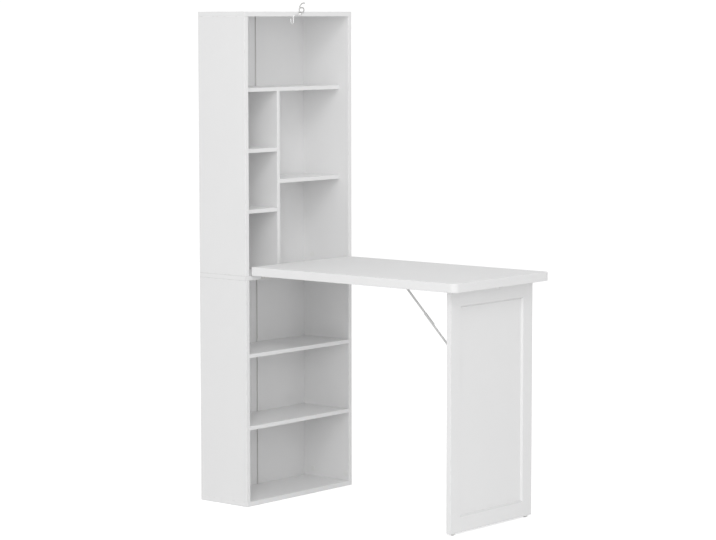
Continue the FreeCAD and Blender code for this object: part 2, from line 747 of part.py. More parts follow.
pilot_dia = "screw_dia + bore_gap"
deck_row = "table_axis_z - 0.6 * deck_leaf_wide"
table_row = "table_axis_y - 0.6 * table_leaf_wide"
leg_table_row = "leg_axis_y + 0.6 * leg_leaf_wide"
leg_row = "leg_axis_z - 0.6 * leg_leaf_wide"
table_columns = hinge_columns("table", table_steps)
leg_columns = hinge_columns("leg", leg_steps)
nodes.append(new_group("deck_hinge_screws", screws_at(
    [(x, "front_y - table_leaf", deck_row) for x in table_columns], rearward)))
nodes.append(new_group("table_hinge_screws", screws_at(
    [(x, table_row, "table_under - table_leaf") for x in table_columns], upright)))
nodes.append(new_group("leg_hinge_upper_screws", screws_at(
    [(x, leg_table_row, "table_under - leg_leaf") for x in leg_columns], upright)))
nodes.append(new_group("leg_hinge_lower_screws", screws_at(
    [(x, "leg_inner + leg_leaf", leg_row) for x in leg_columns], forward)))


# stays
def new_bracket(name, place, turn):
    """Screw plate under its mounting face with a lug for the arm's pivot."""
    item = new_body(name, place, turn)
    drawing = new_sketch(item, "XY_Plane")
    draw_rectangle(drawing, ("-bracket_wide", "-bracket_long / 2"), (0, "bracket_long / 2"))
    plate = add_pad(item, drawing, "lug_thick")
    plate.Reversed = True
    drawing = new_sketch(item, "YZ_Plane")
    tip = "leg_arm + rivet_dia"
    draw_polygon(drawing, [("-lug_width / 2", 0), ("lug_width / 2", 0), ("lug_width / 4", f"-({tip})"),
                           ("-lug_width / 4", f"-({tip})")])
    lug = add_pad(item, drawing, "lug_thick")
    lug.Reversed = True
    drill(item, "YZ_Plane", 0, [(0, "-leg_arm")], "rivet_dia + 2 * running_gap", "lug_thick")
    centres = [("-0.6 * bracket_wide", f"{sign} * bracket_long / 3") for sign in (-1, 1)]
    countersink(item, "XY_Plane", "-lug_thick", centres, along_normal=True)
    return item


def arm_turn(sign, upper):
    """Local X runs along the arm to the knuckle, local Z runs outwards."""
    run = Vector(0, -1, -1) if upper else Vector(0, 1, 1)
    out = Vector(sign, 0, 0)
    return Rotation(run, out.cross(run), out, "ZXY")


def new_arm(name, place, turn):
    item = new_body(name, place, turn)
    drawing = new_sketch(item, "XY_Plane")
    draw_slot(drawing, "0", "arm_long + arm_tail", "arm_width")
    add_pad(item, drawing, "arm_thick")
    drill(item, "XY_Plane", "arm_thick", [(0, 0)], "rivet_dia + 2 * running_gap", "arm_thick")
    return item


rivet_profile = [("0", "0"), ("rivet_dia / 2", "0"), ("rivet_head / 2", "rivet_rise / 2"),
                 ("rivet_head / 2", "rivet_rise"), ("rivet_dia / 2", "rivet_rise"),
                 ("rivet_dia / 2", "rivet_length"), ("0", "rivet_length")]
knuckle_profile = rivet_profile[:5] + [("rivet_dia / 2", "rivet_rise + lock_thick + arm_thick"),
                                       ("0", "rivet_rise + lock_thick + arm_thick")]
table_brackets = []
leg_brackets = []
table_rivets = []
leg_rivets = []
table_screws = []
leg_screws = []
for sign, hand in ((-1, "left"), (1, "right")):
    table_pivot = ("stay_table_y", "leg_axis_z")
    leg_pivot = ("leg_axis_y", "stay_leg_z")
    table_seat = (f"{sign} * table_lug_x", "stay_table_y", "table_under")
    table_brackets.append(new_bracket("stay_bracket", table_seat, half_turn if sign < 0 else upright))
    leg_seat = (f"{sign} * leg_lug_x", "leg_inner", "stay_leg_z")
    leg_brackets.append(new_bracket("stay_bracket", leg_seat, forward * half_turn if sign > 0 else forward))
    table_rivets.append(new_turned("rivet", rivet_profile, (
        f"{sign} * (table_lug_x - lug_thick - rivet_rise)", *table_pivot), sideways(sign)))
    leg_rivets.append(new_turned("rivet", rivet_profile, (
        f"{sign} * (leg_lug_x + lug_thick + rivet_rise)", *leg_pivot), sideways(-sign)))
    for share in (-1, 1):
        table_screws.append((f"{sign} * (table_lug_x - 0.6 * bracket_wide)",
                             f"stay_table_y + {share} * bracket_long / 3", "table_under - lug_thick"))
        leg_screws.append((f"{sign} * (leg_lug_x + 0.6 * bracket_wide)", "leg_inner + lug_thick",
                           f"stay_leg_z + {share} * bracket_long / 3"))

    upper_turn = arm_turn(sign, True)
    rivet_hole = "rivet_dia + 2 * running_gap"
    upper_arm = new_arm(f"stay_upper_arm_{hand}", (f"{sign} * upper_arm_x", *table_pivot), upper_turn)
    drill(upper_arm, "XY_Plane", "arm_thick", [("arm_long", 0)], rivet_hole, "arm_thick")
    nodes.append(upper_arm)
    lower_turn = arm_turn(sign, False)
    lower_arm = new_arm(f"stay_lower_arm_{hand}", (f"{sign} * lower_arm_x", *leg_pivot), lower_turn)
    boss = new_sketch(lower_arm, "XY_Plane", "arm_thick")
    draw_circles(boss, [("arm_long", 0)], "rivet_head")
    add_pad(lower_arm, boss, "rivet_rise")
    nodes.append(lower_arm)

    lock = new_body(f"stay_lock_{hand}", (f"{sign} * (upper_arm_x - lock_thick)", *table_pivot), upper_turn)
    drawing = new_sketch(lock, "XY_Plane")
    draw_slot(drawing, "arm_long - arm_tail", "arm_long + arm_tail", "arm_width")
    add_pad(lock, drawing, "lock_thick")
    drill(lock, "XY_Plane", "lock_thick", [("arm_long", 0)], rivet_hole, "lock_thick")
    nodes.append(lock)
    nodes.append(new_turned(f"stay_knuckle_rivet_{hand}", knuckle_profile, (
        f"{sign} * (upper_arm_x - lock_thick - rivet_rise)", "leg_axis_y + stay_reach / 2",
        "leg_axis_z - stay_reach / 2"), sideways(sign)))
nodes.append(new_group("stay_table_brackets", table_brackets))
nodes.append(new_group("stay_leg_brackets", leg_brackets))
nodes.append(new_group("stay_table_rivets", table_rivets))
nodes.append(new_group("stay_leg_rivets", leg_rivets))
nodes.append(new_group("stay_table_screws", screws_at(table_screws, upright)))
nodes.append(new_group("stay_leg_screws", screws_at(leg_screws, forward)))


# screw holes in the boards that carry hinges and brackets
drill(deck_board, "XZ_Plane", "0", [(f"{x} - left_x", f"{deck_row} - deck_under") for x in table_columns],
      pilot_dia, "screw_length")
under_places = [(x, table_row) for x in table_columns] + [(x, leg_table_row) for x in leg_columns]
under_places += [(x, y) for x, y, level in table_screws]
drill(tabletop, "XY_Plane", "0", [(f"{x} + table_width / 2", f"{y} - table_free") for x, y in under_places],
      pilot_dia, "screw_length", along_normal=True)
inner_places = [(x, leg_row) for x in leg_columns] + [(x, z) for x, y, z in leg_screws]
leg_places = [(f"{x} + leg_width / 2", f"{z} - glide_height") for x, z in inner_places]
drill(leg_panel, "XZ_Plane", "-leg_thick", leg_places, pilot_dia, "screw_length", along_normal=True)


# wire hook with its pivot screw, and the peg it catches
hook = new_body("hook", ("0", "hook_y", "hook_height"))
spine = new_sketch(hook, "XZ_Plane")
lip_x = "-hook_reach - hook_throat"
shank_x = "-hook_reach + hook_throat"
bend_x = "-hook_reach + 2 * hook_throat"
bend_z = "-hook_loop - hook_throat"
turn_axis = Vector(0, 0, 1)
throat = Part.Circle(flat_point(("-hook_reach", "-hook_drop")), turn_axis, value("hook_throat"))
bend = Part.Circle(flat_point((bend_x, bend_z)), turn_axis, value("hook_throat"))
lip_end = flat_point((lip_x, "-hook_drop + hook_lip"))
spine.addGeometry(Part.LineSegment(lip_end, flat_point((lip_x, "-hook_drop"))))
spine.addGeometry(Part.ArcOfCircle(throat, radians(180), radians(360)))
spine.addGeometry(Part.LineSegment(flat_point((shank_x, "-hook_drop")), flat_point((shank_x, bend_z))))
spine.addGeometry(Part.ArcOfCircle(bend, radians(90), radians(180)))
spine.addGeometry(Part.LineSegment(flat_point((bend_x, "-hook_loop")), flat_point(("0", "-hook_loop"))))
for first, first_end, second, second_end in ((0, 2, 1, 1), (1, 2, 2, 1), (2, 2, 3, 2), (3, 1, 4, 1)):
    spine.addConstraint(Sketcher.Constraint("Tangent", first, first_end, second, second_end))
hold_point(spine, 0, 1, (lip_x, "-hook_drop + hook_lip"))
hold_point(spine, 1, 3, ("-hook_reach", "-hook_drop"))
hold_point(spine, 3, 3, (bend_x, bend_z))
hold_point(spine, 4, 2, ("0", "-hook_loop"))
wire = new_sketch(hook, "XY_Plane", "-hook_drop + hook_lip")
draw_circles(wire, [(lip_x, "0")], "hook_wire")
bent = hook.newObject("PartDesign::AdditivePipe", "hook_bent_wire")
bent.Profile = wire
bent.Spine = (spine, [])


def sweep_wire(path, diameter):
    """Round wire along a path drawn in the plane of the hook."""
    section = hook.newObject("Sketcher::SketchObject", "hook_section")
    section.AttachmentSupport = (path, ["Edge1"])
    section.MapMode = "NormalToEdge"
    draw_circles(section, [("0", "0")], diameter)
    sweep = hook.newObject("PartDesign::AdditivePipe", "hook_wire")
    sweep.Profile = section
    sweep.Spine = (path, [])


pivot_loop = hook.newObject("PartDesign::AdditiveTorus", "hook_pivot_loop")
pivot_loop.AttachmentSupport = (origin_plane(hook, "XZ_Plane"), [""])
pivot_loop.MapMode = "FlatFace"
pivot_loop.setExpression("Radius1", linked("hook_loop"))
pivot_loop.setExpression("Radius2", linked("hook_loop_wire / 2"))
link = new_sketch(hook, "YZ_Plane")
draw_circles(link, [("0", "hook_loop")], "hook_wire")
add_pad(hook, link, "hook_ring_out")
ring_level = "hook_loop + hook_ring"
ring_path = new_sketch(hook, "XZ_Plane")
draw_slot(ring_path, "hook_ring_out - hook_ring_long", "hook_ring_out + hook_ring_long", "2 * hook_ring",
          ring_level)
sweep_wire(ring_path, "hook_loop_wire")
tail_start = "hook_ring_out - hook_ring_long - hook_ring"
tail_centre = (f"{tail_start} + hook_tail", ring_level)
tail_path = new_sketch(hook, "XZ_Plane")
tail_bend = Part.Circle(flat_point(tail_centre), turn_axis, value("hook_tail"))
tail_path.addGeometry(Part.ArcOfCircle(tail_bend, radians(value("hook_tail_turn")), radians(180)))
hold_point(tail_path, 0, 3, tail_centre)
hold_point(tail_path, 0, 2, (tail_start, ring_level))
hold(tail_path, "DistanceX", f"{tail_centre[0]} + hook_tail * cos(hook_tail_turn * 1 deg)", -1, 1, 0, 1)
sweep_wire(tail_path, "hook_wire")
nodes.append(hook)

pin_radius = "hook_pin_dia / 2"
head_start = "hook_loop_wire + 2 * knuckle_gap"
pivot_profile = [("0", f"-({head_start} + hook_wire)"), ("hook_loop / 2", f"-({head_start} + hook_wire)"),
                 ("hook_loop", f"-({head_start} + hook_wire / 3)"),
                 ("hook_loop", f"-({head_start})"), (pin_radius, f"-({head_start})"),
                 (pin_radius, "2 * board - hook_wire"), ("0", "2 * board")]
hook_screw = new_turned("hook_screw", pivot_profile, ("0", "front_y", "hook_height"), rearward)
cut_drive(hook_screw, cross_corners("hook_loop / 3", "hook_loop / 12"), f"-({head_start} + hook_wire)",
          "hook_wire / 2")
nodes.append(hook_screw)

peg_depth = "table_thick * 0.6"
peg_profile = [("0", f"-({peg_depth})"), ("peg_dia / 2", f"-({peg_depth})"), ("peg_dia / 2", "peg_stand"),
               ("peg_head / 2", "peg_stand"), ("peg_head / 2", "peg_stand + peg_dia / 4"),
               ("peg_head / 4", "peg_stand + peg_dia / 2"), ("0", "peg_stand + peg_dia / 2")]
nodes.append(new_turned("catch_peg", peg_profile, ("peg_x", "peg_y", "table_under"), downward))
drill(tabletop, "XY_Plane", "0", [("peg_x + table_width / 2", "peg_y - table_free")], "peg_dia + bore_gap",
      f"{peg_depth} + bore_gap", along_normal=True)

doc.recompute()
for item in doc.Objects:
    if "Invalid" in item.State or "Error" in item.State:
        raise RuntimeError(f"{item.Label}: {item.getStatusString()}")
    if item.TypeId in ("PartDesign::Pocket", "PartDesign::Hole"):
        if item.BaseFeature.Shape.Volume - item.Shape.Volume < 0.01:
            raise RuntimeError(f"{item.Label} of {item.getParentGeoFeatureGroup().Label} cuts nothing")
for node in nodes:
    if node.Shape.isNull() or not node.Shape.isValid():
        raise RuntimeError(f"{node.Label} has no valid shape")
    node.Shape.exportStep(f"parts/{node.Label}.step")
print(len(nodes), "nodes written")
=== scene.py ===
import math
import bpy
from mathutils import Matrix, Vector


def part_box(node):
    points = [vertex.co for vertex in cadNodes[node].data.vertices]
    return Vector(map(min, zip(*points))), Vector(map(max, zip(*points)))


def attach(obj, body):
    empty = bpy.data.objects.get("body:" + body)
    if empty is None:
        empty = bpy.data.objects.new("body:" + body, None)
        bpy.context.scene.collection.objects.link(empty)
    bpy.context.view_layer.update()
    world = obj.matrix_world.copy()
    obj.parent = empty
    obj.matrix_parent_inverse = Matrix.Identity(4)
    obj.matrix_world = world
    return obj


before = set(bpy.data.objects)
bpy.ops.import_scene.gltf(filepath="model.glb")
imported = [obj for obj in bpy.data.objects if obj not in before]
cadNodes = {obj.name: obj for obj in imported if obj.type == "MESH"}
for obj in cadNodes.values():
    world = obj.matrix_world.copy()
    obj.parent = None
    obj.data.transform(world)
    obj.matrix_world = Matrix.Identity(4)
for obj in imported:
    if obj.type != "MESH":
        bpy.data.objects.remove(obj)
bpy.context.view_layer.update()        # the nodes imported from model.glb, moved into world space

floatSocket = "NodeSocketFloat"
vectorSocket = "NodeSocketVector"
print("loaded", len(cadNodes), "nodes")


# small helpers for node trees
def addNode(tree, kind, feeds=None, **settings):
    made = tree.nodes.new(kind)
    for name, value in settings.items():
        setattr(made, name, value)
    for name, value in (feeds or {}).items():
        if isinstance(value, bpy.types.NodeSocket):
            tree.links.new(value, made.inputs[name])
        else:
            made.inputs[name].default_value = value
    return made


def addMath(tree, operation, first, second=0.0, clamp=False):
    return addNode(tree, "ShaderNodeMath", {0: first, 1: second}, operation=operation,
                   use_clamp=clamp).outputs[0]


def addVectorMath(tree, operation, first, second=None):
    feeds = {0: first} if second is None else {0: first, 1: second}
    return addNode(tree, "ShaderNodeVectorMath", feeds, operation=operation).outputs[0]


def addNoise(tree, place, scale, detail, roughness, distortion=0.0):
    feeds = {"Vector": place, "Scale": scale, "Detail": detail, "Roughness": roughness,
             "Distortion": distortion}
    return addNode(tree, "ShaderNodeTexNoise", feeds).outputs[0]


def mapRange(tree, value, fromLow, fromHigh, toLow, toHigh, easing="LINEAR"):
    feeds = {0: value, 1: fromLow, 2: fromHigh, 3: toLow, 4: toHigh}
    return addNode(tree, "ShaderNodeMapRange", feeds, interpolation_type=easing).outputs[0]


def mixColours(tree, share, first, second):
    # sockets 6 and 7 and output 2 are the colour ones of the Mix node
    return addNode(tree, "ShaderNodeMix", {0: share, 6: first, 7: second},
                   data_type="RGBA").outputs[2]


def splitAxes(tree, vector):
    return addNode(tree, "ShaderNodeSeparateXYZ", {0: vector}).outputs


def insideBox(tree, place, centre, half):
    # the offset from a box's centre, and how far inside its faces a point is on each axis
    offset = addVectorMath(tree, "SUBTRACT", place, centre)
    spread = addVectorMath(tree, "ABSOLUTE", offset)
    return offset, splitAxes(tree, addVectorMath(tree, "SUBTRACT", half, spread))


def newTree(name, kind, inputs, outputs):
    tree = bpy.data.node_groups.new(name, kind)
    for label, socketKind, value in inputs:
        socket = tree.interface.new_socket(name=label, in_out="INPUT", socket_type=socketKind)
        if value is not None:
            socket.default_value = value
    for label, socketKind in outputs:
        tree.interface.new_socket(name=label, in_out="OUTPUT", socket_type=socketKind)
    given = tree.nodes.new("NodeGroupInput").outputs
    return tree, given, tree.nodes.new("NodeGroupOutput").inputs


# effects that several finishes share
def makePearlGrain():
    # a slow mottle and the fine peel of a coated face
    tree, given, result = newTree(
        "pearlGrain", "ShaderNodeTree",
        [("Vector", vectorSocket, None), ("Scale", floatSocket, 8.0),
         ("Fineness", floatSocket, 900.0)],
        [("Mottle", floatSocket), ("Height", floatSocket)])
    cloud = addNoise(tree, given["Vector"], given["Scale"], detail=5.0, roughness=0.6)
    peel = addNoise(tree, given["Vector"], given["Fineness"], detail=2.0, roughness=0.5)
    tree.links.new(cloud, result["Mottle"])
    tree.links.new(peel, result["Height"])
    return tree


def makeEdgeRub():
    # a mask along the arrises of a box-shaped board, from its centre and half sizes
    tree, given, result = newTree(
        "edgeRub", "ShaderNodeTree",
        [("Vector", vectorSocket, None), ("Centre", vectorSocket, None),
         ("Half", vectorSocket, None), ("Width", floatSocket, 0.002)],
        [("Mask", floatSocket), ("Nick", floatSocket)])
    x, y, z = insideBox(tree, given["Vector"], given["Centre"], given["Half"])[1]
    smaller = addMath(tree, "MINIMUM", x, y)
    larger = addMath(tree, "MAXIMUM", x, y)
    middle = addMath(tree, "MAXIMUM", smaller, addMath(tree, "MINIMUM", larger, z))
    line = mapRange(tree, middle, 0.0, given["Width"], 1.0, 0.0, easing="SMOOTHSTEP")
    scatter = addNoise(tree, given["Vector"], scale=55.0, detail=4.0, roughness=0.65)
    broken = mapRange(tree, scatter, fromLow=0.5, fromHigh=0.72, toLow=0.0, toHigh=1.0)
    tree.links.new(line, result["Mask"])
    tree.links.new(addMath(tree, "MULTIPLY", line, broken), result["Nick"])
    return tree


def makeHandling():
    # where hands and cloths have been: a slow change between two roughness values
    tree, given, result = newTree(
        "handling", "ShaderNodeTree",
        [("Vector", vectorSocket, None), ("Scale", floatSocket, 3.0),
         ("Smooth", floatSocket, 0.3), ("Rough", floatSocket, 0.5)],
        [("Roughness", floatSocket)])
    wipe = addNoise(tree, given["Vector"], given["Scale"], detail=6.0, roughness=0.6,
                    distortion=0.4)
    spread = mapRange(tree, wipe, 0.3, 0.7, given["Smooth"], given["Rough"])
    tree.links.new(spread, result["Roughness"])
    return tree


def makeBrushing():
    # streaks drawn out along the axis with the smallest stretch
    tree, given, result = newTree(
        "brushing", "ShaderNodeTree",
        [("Vector", vectorSocket, None), ("Stretch", vectorSocket, None)],
        [("Streak", floatSocket), ("Height", floatSocket)])
    stretched = addVectorMath(tree, "MULTIPLY", given["Vector"], given["Stretch"])
    coarse = addNoise(tree, stretched, scale=0.35, detail=3.0, roughness=0.6)
    fine = addNoise(tree, stretched, scale=1.0, detail=2.0, roughness=0.5)
    tree.links.new(coarse, result["Streak"])
    tree.links.new(fine, result["Height"])
    return tree


pearlGrain = makePearlGrain()
edgeRub = makeEdgeRub()
handling = makeHandling()
brushing = makeBrushing()
print("shared effects ready")


def newMaterial(name):
    material = bpy.data.materials.new(name)
    material.use_nodes = True
    tree = material.node_tree
    shader = next(n for n in tree.nodes if n.type == "BSDF_PRINCIPLED")
    place = addNode(tree, "ShaderNodeTexCoord").outputs["Object"]
    return material, tree, shader, place


def placeGroup(tree, group, feeds):
    return addNode(tree, "ShaderNodeGroup", feeds, node_tree=group).outputs


def placeHandling(tree, place, look):
    return placeGroup(tree, handling, {"Vector": place, "Scale": look["wearScale"],
                                       "Smooth": look["smooth"],
                                       "Rough": look["rough"]})["Roughness"]


def shiftPattern(tree, place, look, count):
    # each board or sheet gets its own part of the pattern
    shift = [step * count for step in look["patternStep"]]
    return addNode(tree, "ShaderNodeMapping", {"Vector": place, "Location": shift}).outputs[0]


def addBump(tree, shader, height, strength, distance):
    bump = addNode(tree, "ShaderNodeBump", {"Height": height, "Strength": strength,
                                            "Distance": distance})
    tree.links.new(bump.outputs[0], shader.inputs["Normal"])


def dress(nodeName, material):
    piece = cadNodes[nodeName]
    piece.data.materials.clear()
    piece.data.materials.append(material)


# white melamine boards; the joint tint darkens the arrises where the two units meet
whiteBoards = {
    "tint": (0.84, 0.84, 0.84, 1.0), "cloudTint": (0.81, 0.81, 0.812, 1.0), "cloudScale": 5.0,
    "rubTint": (0.90, 0.90, 0.90, 1.0), "rubWidth": 0.0022, "rubShare": 0.4, "rubGloss": 0.08,
    "nickTint": (0.52, 0.51, 0.50, 1.0), "nickShare": 0.5,
    "jointTint": (0.50, 0.50, 0.50, 1.0), "jointNodes": ["deck_board"],
    "peel": 950.0, "peelStrength": 0.12, "peelDistance": 0.0002,
    "wearScale": 2.4, "smooth": 0.42, "rough": 0.56, "coat": 0.04, "coatRough": 0.35,
    "patternStep": (0.37, 0.61, 0.23),
    "nodes": ["base_board", "lower_left_side", "lower_right_side", "floor_shelf_low",
              "floor_shelf_high", "deck_board", "upper_left_side", "upper_right_side",
              "top_board", "wide_shelf", "divider", "left_shelf_low", "left_shelf_high",
              "right_shelf", "tabletop", "leg_panel"],
}

# painted shade along the upper and lower slopes of the leg's sunk field, darkened as if in
# shadow
legGroove = {"node": "leg_panel", "border": 0.0455, "slope": 0.0054,
             "paintedShadeTint": (0.72, 0.72, 0.72, 1.0)}


def grooveShadeMask(tree, place, centre, half):
    # mask of the painted shade: the upper and lower slopes of the sunk field, on the outer face
    # only
    offset, inward = insideBox(tree, place, centre, half)
    fromSide, fromEnd = inward[0], inward[2]
    past = addMath(tree, "GREATER_THAN", fromEnd, legGroove["border"])
    before = addMath(tree, "LESS_THAN", fromEnd, legGroove["border"] + legGroove["slope"])
    band = addMath(tree, "MULTIPLY", past, before)
    mitred = addMath(tree, "MULTIPLY", band, addMath(tree, "GREATER_THAN", fromSide, fromEnd))
    outerFace = addMath(tree, "LESS_THAN", splitAxes(tree, offset)[1], 0.0)
    return addMath(tree, "MULTIPLY", mitred, outerFace)


def finishBoard(nodeName, count):
    look = whiteBoards
    low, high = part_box(nodeName)
    centre, half = (low + high) / 2, (high - low) / 2
    material, tree, shader, place = newMaterial("melamine_" + nodeName)
    moved = shiftPattern(tree, place, look, count)
    grain = placeGroup(tree, pearlGrain, {"Vector": moved, "Scale": look["cloudScale"],
                                          "Fineness": look["peel"]})
    rub = placeGroup(tree, edgeRub, {"Vector": place, "Centre": centre, "Half": half,
                                     "Width": look["rubWidth"]})
    wear = placeHandling(tree, moved, look)
    arris = look["jointTint"] if nodeName in look["jointNodes"] else look["rubTint"]
    rubShare = addMath(tree, "MULTIPLY", rub["Mask"], look["rubShare"])
    nickShare = addMath(tree, "MULTIPLY", rub["Nick"], look["nickShare"])
    face = mixColours(tree, grain["Mottle"], look["tint"], look["cloudTint"])
    face = mixColours(tree, rubShare, face, arris)
    face = mixColours(tree, nickShare, face, look["nickTint"])
    if nodeName == legGroove["node"]:
        # painted shade: the sunk field's upper and lower slopes are darkened towards the shade
        # tint
        face = mixColours(tree, grooveShadeMask(tree, place, centre, half), face, legGroove["paintedShadeTint"])
    tree.links.new(face, shader.inputs["Base Color"])
    rubGloss = addMath(tree, "MULTIPLY", rub["Mask"], look["rubGloss"])
    tree.links.new(addMath(tree, "SUBTRACT", wear, rubGloss), shader.inputs["Roughness"])
    shader.inputs["Coat Weight"].default_value = look["coat"]
    shader.inputs["Coat Roughness"].default_value = look["coatRough"]
    addBump(tree, shader, grain["Height"], look["peelStrength"], look["peelDistance"])
    dress(nodeName, material)


for count, nodeName in enumerate(whiteBoards["nodes"]):
    finishBoard(nodeName, count)
print("boards finished:", len(whiteBoards["nodes"]))

# hardboard backs: lacquer inside the case, bare fibre face behind
whiteBacks = {
    "tint": (0.83, 0.83, 0.83, 1.0), "stripTint": (0.62, 0.62, 0.625, 1.0),
    "cloudTint": (0.80, 0.80, 0.803, 1.0), "cloudScale": 4.0,
    "fibreTint": (0.64, 0.62, 0.585, 1.0), "fibreDark": (0.50, 0.475, 0.435, 1.0),
    "fibreScale": 420.0, "rearRough": 0.25,
    "peel": 700.0, "peelStrength": 0.15, "peelDistance": 0.0002,
    "wearScale": 3.0, "smooth": 0.42, "rough": 0.6, "patternStep": (0.53, 0.0, 0.41),
    "nodes": [unit + "_back_" + half for unit in ("lower", "upper")
              for half in ("left", "right", "strip")],
}


def finishBack(nodeName, count):
    look = whiteBacks
    low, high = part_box(nodeName)
    material, tree, shader, place = newMaterial("hardboard_" + nodeName)
    moved = shiftPattern(tree, place, look, count)
    grain = placeGroup(tree, pearlGrain, {"Vector": moved, "Scale": look["cloudScale"],
                                          "Fineness": look["peel"]})
    wear = placeHandling(tree, moved, look)
    strands = addNoise(tree, moved, look["fibreScale"], detail=5.0, roughness=0.7,
                       distortion=1.2)
    rear = addMath(tree, "GREATER_THAN", splitAxes(tree, place)[1], (low.y + high.y) / 2)
    front = look["stripTint"] if nodeName.endswith("strip") else look["tint"]
    lacquer = mixColours(tree, grain["Mottle"], front, look["cloudTint"])
    fibre = mixColours(tree, strands, look["fibreTint"], look["fibreDark"])
    tree.links.new(mixColours(tree, rear, lacquer, fibre), shader.inputs["Base Color"])
    rearRough = addMath(tree, "MULTIPLY", rear, look["rearRough"])
    tree.links.new(addMath(tree, "ADD", wear, rearRough, clamp=True),
                   shader.inputs["Roughness"])
    rearHeight = addMath(tree, "MULTIPLY", rear, strands)
    addBump(tree, shader, addMath(tree, "ADD", grain["Height"], rearHeight),
            look["peelStrength"], look["peelDistance"])
    dress(nodeName, material)


for count, nodeName in enumerate(whiteBacks["nodes"]):
    finishBack(nodeName, count)
print("backs finished:", len(whiteBacks["nodes"]))

# beech dowels
beechDowels = {
    "early": (0.62, 0.43, 0.26, 1.0), "late": (0.47, 0.29, 0.16, 1.0),
    "fleck": (0.33, 0.19, 0.10, 1.0), "fleckStart": 0.62, "fleckFull": 0.7, "fleckShare": 0.6,
    "stretch": (60.0, 900.0, 900.0), "wearScale": 40.0, "smooth": 0.55, "rough": 0.8,
    "bump": 0.3, "bumpDistance": 0.0002,
    "nodes": ["lower_dowels", "upper_dowels", "deck_dowels"],
}


def finishBeech():
    look = beechDowels
    material, tree, shader, place = newMaterial("rawBeech")
    streaks = placeGroup(tree, brushing, {"Vector": place, "Stretch": look["stretch"]})
    wood = mixColours(tree, streaks["Streak"], look["early"], look["late"])
    flecks = mapRange(tree, streaks["Height"], look["fleckStart"], look["fleckFull"],
                      0.0, look["fleckShare"])
    tree.links.new(mixColours(tree, flecks, wood, look["fleck"]), shader.inputs["Base Color"])
    tree.links.new(placeHandling(tree, place, look), shader.inputs["Roughness"])
    addBump(tree, shader, streaks["Height"], look["bump"], look["bumpDistance"])
    for nodeName in look["nodes"]:
        dress(nodeName, material)


finishBeech()
print("dowels finished:", len(beechDowels["nodes"]))

# plated, painted and lacquered metal
metalFinishes = {
    "brightZinc": {
        "tint": (0.62, 0.63, 0.65, 1.0), "dull": (0.44, 0.45, 0.47, 1.0), "metallic": 1.0,
        "coat": 0.0, "stretch": (500.0, 500.0, 500.0), "wearScale": 30.0, "smooth": 0.28,
        "rough": 0.46, "bump": 0.12, "bumpDistance": 0.0001,
        "nodes": ["cam_locks", "base_bolts", "deck_bolts", "top_screws"]},
    "nickelPlate": {
        "tint": (0.70, 0.69, 0.67, 1.0), "dull": (0.61, 0.60, 0.585, 1.0), "metallic": 1.0,
        "coat": 0.0, "stretch": (40.0, 1400.0, 1400.0), "wearScale": 30.0, "smooth": 0.22,
        "rough": 0.32, "bump": 0.05, "bumpDistance": 0.0001,
        "nodes": ["deck_hinge_leaves", "table_hinge_leaves", "table_hinge_pins",
                  "deck_hinge_screws", "table_hinge_screws", "leg_hinge_upper_leaves",
                  "leg_hinge_lower_leaves", "leg_hinge_pins", "leg_hinge_upper_screws",
                  "leg_hinge_lower_screws", "stay_table_rivets", "stay_leg_rivets",
                  "stay_table_screws", "stay_leg_screws", "stay_knuckle_rivet_left",
                  "stay_knuckle_rivet_right"]},
    "stayPaint": {
        "tint": (0.62, 0.62, 0.615, 1.0), "dull": (0.53, 0.53, 0.53, 1.0), "metallic": 0.0,
        "coat": 0.2, "stretch": (1100.0, 1100.0, 1100.0), "wearScale": 30.0, "smooth": 0.3,
        "rough": 0.45, "bump": 0.2, "bumpDistance": 0.0001,
        "nodes": ["stay_table_brackets", "stay_leg_brackets", "stay_upper_arm_left",
                  "stay_upper_arm_right", "stay_lower_arm_left", "stay_lower_arm_right",
                  "stay_lock_left", "stay_lock_right"]},
    "latchPlate": {
        "tint": (0.72, 0.72, 0.71, 1.0), "dull": (0.60, 0.60, 0.59, 1.0), "metallic": 1.0,
        "coat": 0.0, "stretch": (700.0, 700.0, 700.0), "wearScale": 30.0, "smooth": 0.13,
        "rough": 0.22, "bump": 0.06, "bumpDistance": 0.0001,
        # painted highlight: a near-white tint over the hook's end
        "paintedGlint": {"foot": 1.509, "head": 1.517, "tint": (0.97, 0.97, 0.97, 1.0)},
        "nodes": ["hook", "hook_screw"]},
    "pegLacquer": {
        "tint": (0.92, 0.92, 0.915, 1.0), "dull": (0.88, 0.88, 0.875, 1.0), "metallic": 0.0,
        "coat": 0.3, "stretch": (900.0, 900.0, 900.0), "wearScale": 30.0, "smooth": 0.22,
        "rough": 0.32, "bump": 0.1, "bumpDistance": 0.0001,
        "nodes": ["catch_peg"]},
}


def finishMetal(name, look):
    material, tree, shader, place = newMaterial(name)
    streaks = placeGroup(tree, brushing, {"Vector": place, "Stretch": look["stretch"]})
    face = mixColours(tree, streaks["Streak"], look["tint"], look["dull"])
    if "paintedGlint" in look:  # painted highlight: the hook's end is tinted near white, standing in for the light it catches
        paintedGlint = look["paintedGlint"]
        bright = mapRange(tree, splitAxes(tree, place)[2], paintedGlint["foot"], paintedGlint["head"],
                          1.0, 0.0)
        face = mixColours(tree, bright, face, paintedGlint["tint"])
    tree.links.new(face, shader.inputs["Base Color"])
    tree.links.new(placeHandling(tree, place, look), shader.inputs["Roughness"])
    shader.inputs["Metallic"].default_value = look["metallic"]
    shader.inputs["Coat Weight"].default_value = look["coat"]
    addBump(tree, shader, streaks["Height"], look["bump"], look["bumpDistance"])
    for nodeName in look["nodes"]:
        dress(nodeName, material)
    return material


metals = {name: finishMetal(name, look) for name, look in metalFinishes.items()}
print("metal finishes:", ", ".join(metals))

